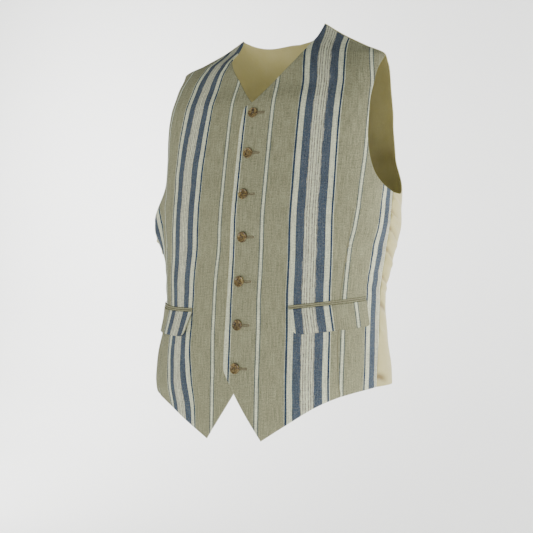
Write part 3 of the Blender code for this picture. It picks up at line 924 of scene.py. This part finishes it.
DULL_SATIN = srgb("bbaf70")
BRIGHT_SATIN = srgb("d3ca94")
# The gold-brown of the painted shade in the crease troughs
CREASE_SHADE_GOLD = srgb("7d6532")


def champagne_satin():
    # Cotton-backed satin, woven with long floats, so it gleams softly along its creases and
    # shows fine lines across the floats
    finish = {"Roughness": 0.42, "Specular IOR Level": 0.14, "Anisotropic": 0.4}
    made, tree, shader = new_material("champagne_satin", finish)
    cloth = add(tree, "Attribute", attribute_name="cloth")
    across, along, raised = add(tree, "SeparateXYZ", (cloth.outputs["Vector"],)).outputs
    slow = woven_noise(tree, across, along, 30, 45, 2.0, 2.0)
    fine = woven_noise(tree, across, along, 0.8, 9, 4.0, 2.0)
    tone = add(tree, "Math", (slow, 0.6), operation="MULTIPLY")
    tone = add(tree, "Math", (fine, 0.4, tone), operation="MULTIPLY_ADD")
    float_colours = {0: tone, 6: DULL_SATIN, 7: BRIGHT_SATIN}
    colour = add(tree, "Mix", float_colours, data_type="RGBA").outputs[2]
    # The troughs of the folds and creases get painted gold-brown shade, darker the deeper they lie
    painted_trough_shade = add(tree, "MapRange", (raised, 0.2, -2.2, 0.0, 0.9))
    colour = add(tree, "Mix", {0: painted_trough_shade, 6: colour, 7: CREASE_SHADE_GOLD}, data_type="RGBA").outputs[2]
    tree.links.new(colour, shader.inputs["Base Color"])
    ripple = woven_noise(tree, across, along, 7, 4, 6.0, 3.0)
    relief = add(tree, "Math", (ripple, 1.6), operation="MULTIPLY")
    relief = add(tree, "Math", (fine, 0.25, relief), operation="MULTIPLY_ADD")
    bump = add(tree, "Bump", {"Height": relief, "Strength": 0.5, "Distance": 0.0007})
    tree.links.new(bump.outputs[0], shader.inputs["Normal"])
    return made


satin = champagne_satin()
back.data.materials.append(satin)


# Pocket jets
# Each pocket mouth is bound with a narrow strip of the plain sand ground, turned under along
# both edges and pressed. A few stitches across each end hold the mouth together.

MOUTH_INNER = (82, -407)
MOUTH_OUTER = (198, -394)
JET_BREADTH = 5.6
# Where on the striped cloth the jets are cut, in the middle of a plain ground
PLAIN_SAND = 18
JET_WALL = 0.6
# How far a jet stands up at its creases, and how much more in the middle of a roll
JET_CREASE = 0.3
JET_ROLL = 1.1
# The line of painted shade along a turned edge begins this far in
EDGE_SHADE_LINE = 0.3
LYING_GAP = 0.4
FLAP_SKEW = 2
FLAP_LENGTH = 37.5


def mouth_point(share, down):
    # Along the mouth from its inner end, and down the cloth from the mouth's middle line
    inner = np.array(MOUTH_INNER)
    outer = np.array(MOUTH_OUTER)
    run = (outer - inner) / np.linalg.norm(outer - inner)
    below = np.array([run[1], -run[0]])
    below = below + run * FLAP_SKEW / FLAP_LENGTH
    return inner + (outer - inner) * share[..., None] + below * down[..., None]


def pocket_piece(name, side, u, down, outside, wall, cloth):
    share = np.broadcast_to(u[None, :], down.shape)
    grid = mouth_point(share, down)
    return one_side(name, side, grid, outside, wall, cloth, np.zeros(down.shape))


JET_U = spread((0, 1, 60))
JET_V = np.linspace(0, 1, 21)
for word, side in (("left", 1), ("right", -1)):
    down = np.broadcast_to(((0.5 - JET_V) * JET_BREADTH)[:, None], (len(JET_V), len(JET_U)))
    # Two rolls with the closed mouth between them; the mouth and both edges get lines of painted
    # shade
    two_rolls = np.abs(np.sin(2 * math.pi * JET_V)) ** 0.5
    rolled = np.broadcast_to(two_rolls[:, None], down.shape)
    outside = LYING_GAP + JET_CREASE + JET_ROLL * rolled
    from_edge = JET_BREADTH / 2 - np.abs(down)
    beside = np.minimum(1.2 * np.abs(down), 2 * from_edge + EDGE_SHADE_LINE)
    run = np.broadcast_to(JET_U * (MOUTH_OUTER[0] - MOUTH_INNER[0]), down.shape)
    cloth = np.stack([PLAIN_SAND + down, run, beside], axis=-1)
    jet = pocket_piece(f"linen_jet_{word}", side, JET_U, down, outside, JET_WALL, cloth)
    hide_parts(f"jet_{word}")
    jet.data.materials.append(linen)


# Pocket flaps
# Each flap is two layers of the striped linen, cut so that its stripes meet the front's at
# the mouth, seamed round three sides and turned, with its inner corner rounded.

FLAP_WALL = 2.2
FLAP_BELLY = 0.5
# The pressed line inside the turned edge: how far in, how deep and its half breadth
PRESSED_IN = 3.2
PRESSED_DEPTH = 0.35
PRESSED_HALF_BREADTH = 1.3
# Breadth and height of the rounded corners
FLAP_INNER_ROUND = (12, 17)
FLAP_OUTER_ROUND = (4, 4)
# How far the lower edge stands off the front at the inner and the outer end
FLAP_STAND = {"left": (1.0, 1.2), "right": (6.0, 1.2)}
# How soon the inner end's stand gives way to the outer end's, as a share of the flap
STAND_FADE = 0.18
FLAP_U = spread((0, 1, 64))
FLAP_V = spread((0, 1, 24))


def rounded_end(from_end, corner):
    # How much shorter the flap is near an end with a rounded corner
    breadth, height = corner
    inside = np.clip(1 - from_end / breadth, 0, 1)
    return height * (1 - np.sqrt(1 - inside**2))


def flap_across(share):
    # The flap's stripes meet the front's at its inner half, then run on past the dart
    return MOUTH_INNER[0] + (MOUTH_OUTER[0] - MOUTH_INNER[0]) * share


width = math.dist(MOUTH_INNER, MOUTH_OUTER)
for word, side in (("left", 1), ("right", -1)):
    eased = 0.5 - 0.5 * np.cos(math.pi * FLAP_U)
    share = 0.35 * FLAP_U + 0.65 * eased
    cut = rounded_end(share * width, FLAP_INNER_ROUND)
    cut = np.maximum(cut, rounded_end((1 - share) * width, FLAP_OUTER_ROUND))
    top = JET_BREADTH / 2 + SEAM_GAP
    down = top + (FLAP_LENGTH - cut)[None, :] * (1 - FLAP_V)[:, None]
    inner_stand, outer_stand = FLAP_STAND[word]
    end_stand = outer_stand + (inner_stand - outer_stand) * np.exp(-share / STAND_FADE)
    lift = end_stand[None, :] * (1 - FLAP_V)[:, None] ** 1.5
    belly = FLAP_BELLY * np.sin(math.pi * FLAP_V)[:, None] * np.sin(3.1 * share + 0.4)[None, :]
    seam_in = np.minimum(share, 1 - share)[None, :] * width
    seam_up = (down.max(axis=0) - down) + 0 * seam_in
    near = np.minimum(np.broadcast_to(seam_in, down.shape), seam_up)
    pressed = -PRESSED_DEPTH * np.exp(-(((near - PRESSED_IN) / PRESSED_HALF_BREADTH) ** 2))
    outside = LYING_GAP + lift + FLAP_WALL + belly + pressed
    # The turned edge gets a thin line of painted shade, in the colour of the dart's seam line
    across = np.broadcast_to(flap_across(share), down.shape)
    cloth = np.stack([across, -down, near + EDGE_SHADE_LINE], axis=-1)
    flap = pocket_piece(f"linen_flap_{word}", side, share, down, outside, FLAP_WALL, cloth)
    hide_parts(f"flap_{word}")
    flap.data.materials.append(linen)


# Buttonholes
# Each is a slit in the left front, worked round by hand with brown silk buttonhole stitch and
# closed at its outer end with a bar of the same thread.

# distance and height of each button, in mm
BUTTONS = [
    (5.3, -118.8),
    (4, -180),
    (2.6, -241.7),
    (5.7, -305.2),
    (4, -370.6),
    (4.3, -434),
    (2.8, -497),
]
# The hole's start and end outside the button's centre
HOLE_START = 4.0
HOLE_END = 17.2
STITCH_SPACING = 0.85
# A bead of thread: half its length, breadth and height, and how far its middle lies off the
# front, for a stitch, for each of the bar's two threads and for the thread along the slit
STITCH, STITCH_OFF = (0.8, 0.42, 0.36), 0.1
BAR, BAR_OFF = (2.1, 0.5, 0.45), 0.15
SLIT, SLIT_OFF = ((HOLE_END - HOLE_START) / 2, 0.22, 0.1), 0.02
# From the slit to each row of stitches, how far a stitch leans by hand, and how far past the
# slit's end the bar's threads lie
ROW_OFF = 1.25
LEAN = 0.16
BAR_AT = np.array([0.6, 1.3])
DARK_SILK = srgb("5a4e36")
LIGHT_SILK = srgb("8a7b5a")


def silk_thread():
    # Buttonhole silk: tightly twisted, so it has a soft gleam and a ribbed look
    finish = {"Roughness": 0.55, "Sheen Weight": 0.2}
    made, tree, shader = new_material("buttonhole_silk", finish)
    spot = add(tree, "TexCoord").outputs["Object"]
    # The twist is about 1 mm from turn to turn
    grain = add(tree, "TexNoise", {"Vector": spot, "Scale": 900.0, "Detail": 2.0}).outputs["Fac"]
    colour = add(tree, "Mix", {0: grain, 6: DARK_SILK, 7: LIGHT_SILK}, data_type="RGBA").outputs[2]
    tree.links.new(colour, shader.inputs["Base Color"])
    return made


def lay_thread(bm, distances, height, bead, off, lie):
    # Beads of thread, half sunk in the left front at the given distances. lie gives the way
    # each one points, from its number, the way up the cloth and the way round it
    count = len(distances)
    places, normals, rounds = on_form(distances, np.full(count, float(height)), np.ones(count))
    for number in range(count):
        out = Vector(normals[number])
        along = Vector(lie(number, np.cross(normals[number], rounds[number]), rounds[number]))
        along.normalize()
        centre = Vector(places[number] + normals[number] * (FRONT_WALL + CLOSING_GAP + off))
        turn = Matrix((along, out.cross(along), out)).transposed().to_4x4()
        place = Matrix.Translation(centre * MM) @ turn @ Matrix.Diagonal((*bead, 1))
        bmesh.ops.create_uvsphere(bm, u_segments=6, v_segments=4, radius=MM, matrix=place)


def leaning(number, up, across):
    # Worked by hand, no stitch lies quite as the last one does
    return up + LEAN * math.sin(2.3 * number) * across


def worked_hole(name, distance, height):
    bm = bmesh.new()
    count = int((HOLE_END - HOLE_START) / STITCH_SPACING)
    run = distance + np.linspace(HOLE_START, HOLE_END, count + 1)
    for row in (-1, 1):
        lay_thread(bm, run, height + ROW_OFF * row, STITCH, STITCH_OFF, leaning)
    bar = distance + HOLE_END + BAR_AT
    lay_thread(bm, bar, height, BAR, BAR_OFF, lambda number, up, across: up)
    slit = np.array([distance + (HOLE_START + HOLE_END) / 2])
    lay_thread(bm, slit, height, SLIT, SLIT_OFF, lambda number, up, across: across)
    made = as_object(bm, name)
    made.data.shade_smooth()
    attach(made, "root")
    return made


silk = silk_thread()
for number, (distance, height) in enumerate(BUTTONS, start=1):
    buttonhole = worked_hole(f"buttonhole_{number}", distance, height)
    buttonhole.data.materials.append(silk)


# Buttons
# Seven buttons are turned from brown horn, with a rounded rim, a groove inside it and four
# holes. Each is sewn on with two bars of thread.

BUTTON_SIDES = 48
HOLE_SIDES = 14
HOLE_RADIUS = 0.8
# The drill's length, and its middle above the back of the button
DRILL_LENGTH = 8
DRILL_MIDDLE = 1.5
HOLE_SPACING = 1.9
LIFT = FRONT_WALL + CLOSING_GAP + LYING_GAP
THREAD_RADIUS = 0.42
THREAD_HEIGHT = 1.6
# radius and height of the turned profile, in mm
BUTTON_PROFILE = [
    (0.0, 1.9),
    (2.6, 2.0),
    (3.9, 2.25),
    (4.6, 2.3),
    (5.2, 1.95),
    (5.7, 2.1),
    (6.4, 2.75),
    (6.9, 3.0),
    (7.5, 2.95),
    (7.9, 2.5),
    (8.0, 1.9),
    (7.8, 1.2),
    (7.1, 0.5),
    (6.3, 0.1),
    (5.2, 0.0),
    (0.0, 0.0),
]


def turned_horn():
    bm = bmesh.new()
    corners = [bm.verts.new((x * MM, 0, z * MM)) for x, z in BUTTON_PROFILE]
    edges = [bm.edges.new(pair) for pair in zip(corners, corners[1:])]
    bmesh.ops.spin(
        bm,
        geom=corners + edges,
        axis=(0, 0, 1),
        cent=(0, 0, 0),
        angle=2 * math.pi,
        steps=BUTTON_SIDES,
        use_merge=True,
    )
    bmesh.ops.remove_doubles(bm, verts=bm.verts, dist=1e-6)
    bmesh.ops.recalc_face_normals(bm, faces=bm.faces)
    blank = as_object(bm, "button_blank")
    bm = bmesh.new()
    for corner in range(4):
        angle = math.radians(45 + 90 * corner)
        spot = Vector((math.cos(angle) * HOLE_SPACING, math.sin(angle) * HOLE_SPACING, DRILL_MIDDLE))
        bmesh.ops.create_cone(
            bm,
            cap_ends=True,
            segments=HOLE_SIDES,
            radius1=HOLE_RADIUS * MM,
            radius2=HOLE_RADIUS * MM,
            depth=DRILL_LENGTH * MM,
            matrix=Matrix.Translation(spot * MM),
        )
    holes = as_object(bm, "button_holes")
    drill = blank.modifiers.new("holes", "BOOLEAN")
    drill.operation = "DIFFERENCE"
    drill.solver = "EXACT"
    drill.object = holes
    bpy.context.view_layer.update()
    finished = blank.evaluated_get(bpy.context.evaluated_depsgraph_get())
    drilled = bpy.data.meshes.new_from_object(finished)
    bpy.data.objects.remove(blank)
    bpy.data.objects.remove(holes)
    return drilled


def brown_horn():
    # Polished horn: brown with honey and near-black clouds, glossy on the rim
    finish = {"Roughness": 0.32, "Coat Weight": 0.3, "Coat Roughness": 0.15}
    made, tree, shader = new_material("brown_horn", finish)
    spot = add(tree, "TexCoord").outputs["Object"]
    # The clouds are about 5 mm across
    cloud = {"Vector": spot, "Scale": 190.0, "Detail": 3.0, "Roughness": 0.6, "Distortion": 1.4}
    ramp = add(tree, "ValToRGB", {"Fac": add(tree, "TexNoise", cloud).outputs["Fac"]})
    stops = ramp.color_ramp.elements
    stops[0].position, stops[0].color = 0.34, srgb("2a2113")
    stops[1].position, stops[1].color = 0.66, srgb("9c8850")
    middle = stops.new(0.48)
    middle.color = srgb("64502c")
    tree.links.new(ramp.outputs["Color"], shader.inputs["Base Color"])
    return made


horn = brown_horn()
horn_blank = turned_horn()
horn_blank.shade_smooth()
horn_blank.set_sharp_from_angle(angle=math.radians(50))


def thread_bars(bm):
    # Two bars of thread, each arched from one hole to the next
    reach = HOLE_SPACING * math.cos(math.pi / 4)
    for side in (-1, 1):
        ring = bmesh.ops.create_circle(bm, segments=8, radius=THREAD_RADIUS * MM)["verts"]
        turn = Matrix.Translation((reach * MM, side * reach * MM, THREAD_HEIGHT * MM))
        bmesh.ops.transform(bm, matrix=turn, verts=ring)
        edges = list({edge for vertex in ring for edge in vertex.link_edges})
        bmesh.ops.spin(
            bm,
            geom=ring + edges,
            axis=(0, 1, 0),
            cent=(0, side * reach * MM, THREAD_HEIGHT * MM),
            angle=-math.pi,
            steps=8,
            use_duplicate=False,
        )
    flatter = Matrix.Diagonal((1, 1, 0.75, 1))
    from_holes = Matrix.Translation((0, 0, -THREAD_HEIGHT * MM))
    bmesh.ops.transform(bm, matrix=flatter, space=from_holes, verts=bm.verts)


def place_button(name, number, distance, height):
    here, level = np.array([float(distance)]), np.array([float(height)])
    place, normal, across = on_form(here, level, np.ones(1))
    out = Vector(normal[0])
    foot = Vector(place[0] + normal[0] * LIFT) * MM
    turn = out.to_track_quat("Z", "Y").to_matrix().to_4x4()
    spun = Matrix.Rotation(math.radians(17 * number), 4, "Z")
    bm = bmesh.new()
    thread_bars(bm)
    bmesh.ops.recalc_face_normals(bm, faces=bm.faces[:])
    for face in bm.faces:
        face.material_index = 1
        face.smooth = True
    bm.from_mesh(horn_blank)
    bmesh.ops.transform(bm, matrix=Matrix.Translation(foot) @ turn @ spun, verts=bm.verts)
    made = as_object(bm, name)
    made.data.materials.append(horn)
    made.data.materials.append(silk)
    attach(made, "root")
    return made


for number, (distance, height) in enumerate(BUTTONS, start=1):
    button = place_button(f"horn_button_{number}", number, distance, height)
    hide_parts(f"button_{number}")


# Floor, light and camera
# A pale floor that curves up behind, as in a plain studio, and soft light from the front and
# from both sides.

FLOOR_HEIGHT = -1.45
# The paper's length, half its breadth, how far it lies flat, and the bend's radius, in metres
PAPER_LENGTH = 12
PAPER_HALF_BREADTH = 9
PAPER_FLAT = 7
PAPER_BEND = 1.2
PAPER_NEAR_END = -4.5
bm = bmesh.new()
bmesh.ops.create_grid(bm, x_segments=1, y_segments=24, size=1)
for vertex in bm.verts:
    reach = (vertex.co.y + 1) / 2 * PAPER_LENGTH
    bend = max(0.0, reach - PAPER_FLAT)
    angle = min(bend / PAPER_BEND, math.pi / 2)
    climb = max(0.0, bend - PAPER_BEND * math.pi / 2)
    depth = min(reach, PAPER_FLAT) + PAPER_BEND * math.sin(angle)
    height = PAPER_BEND * (1 - math.cos(angle)) + climb
    across = vertex.co.x * PAPER_HALF_BREADTH
    vertex.co = (across, PAPER_NEAR_END + depth, FLOOR_HEIGHT + height)
backdrop = as_object(bm, "studio_floor")
backdrop.data.shade_smooth()
# Matt white paper off a roll
paper = new_material("white_paper", {"Base Color": srgb("f6f6f4"), "Roughness": 0.9})[0]
backdrop.data.materials.append(paper)

world = bpy.data.worlds.new("studio")
world.use_nodes = True
world.node_tree.nodes["Background"].inputs["Color"].default_value = srgb("f4f8f6")
world.node_tree.nodes["Background"].inputs["Strength"].default_value = 0.36
bpy.context.scene.world = world

# name, place, what it points at, size, power
LIGHTS = [
    ("low_front", (0.5, -2.5, -1.5), (0, 0, -0.5), 1.6, 84),
    ("side_left", (2.4, -0.2, -1.0), (0, 0, -0.45), 1.0, 26),
    ("side_right", (-2.4, -1.0, -1.0), (0, 0, -0.45), 1.4, 22),
    ("behind_left", (1.3, 1.6, -0.2), (0, 0, -0.35), 1.2, 3),
    ("wall_left", (2.6, 0.9, 0.3), (0.8, 4.5, -0.2), 1.6, 230),
    ("wall_right", (-3.4, 1.2, 0.3), (-2.4, 4.5, -0.2), 1.6, 230),
]
for name, place, target, size, power in LIGHTS:
    lamp = bpy.data.lights.new(name, "AREA")
    lamp.shape = "DISK"
    lamp.size = size
    lamp.energy = power
    light = bpy.data.objects.new(name, lamp)
    light.location = place
    aim = Vector(target) - Vector(place)
    light.rotation_euler = aim.to_track_quat("-Z", "Y").to_euler()
    bpy.context.scene.collection.objects.link(light)

# The photograph's frame is 533 pixels wide. The camera stands level with the waist
FRAME_PIXELS = 533
FOCAL_PIXELS = 1058.6
CAMERA_TURN = math.radians(28.57)
CAMERA_DISTANCE = 1.654
CAMERA_HEIGHT = -0.352
FORM_AXIS_Y = -0.026
AXIS_PIXEL = (274.9, 269.2)
lens = bpy.data.cameras.new("photo_camera")
lens.sensor_width = 36
lens.lens = 36 * FOCAL_PIXELS / FRAME_PIXELS
lens.shift_x = (FRAME_PIXELS / 2 - AXIS_PIXEL[0]) / FRAME_PIXELS
lens.shift_y = (AXIS_PIXEL[1] - FRAME_PIXELS / 2) / FRAME_PIXELS
lens.clip_start = 0.05
lens.clip_end = 50
camera = bpy.data.objects.new("photo_camera", lens)
camera.location = (
    math.sin(CAMERA_TURN) * CAMERA_DISTANCE,
    FORM_AXIS_Y - math.cos(CAMERA_TURN) * CAMERA_DISTANCE,
    CAMERA_HEIGHT,
)
camera.rotation_euler = (math.pi / 2, 0, CAMERA_TURN)
bpy.context.scene.collection.objects.link(camera)
bpy.context.scene.camera = camera
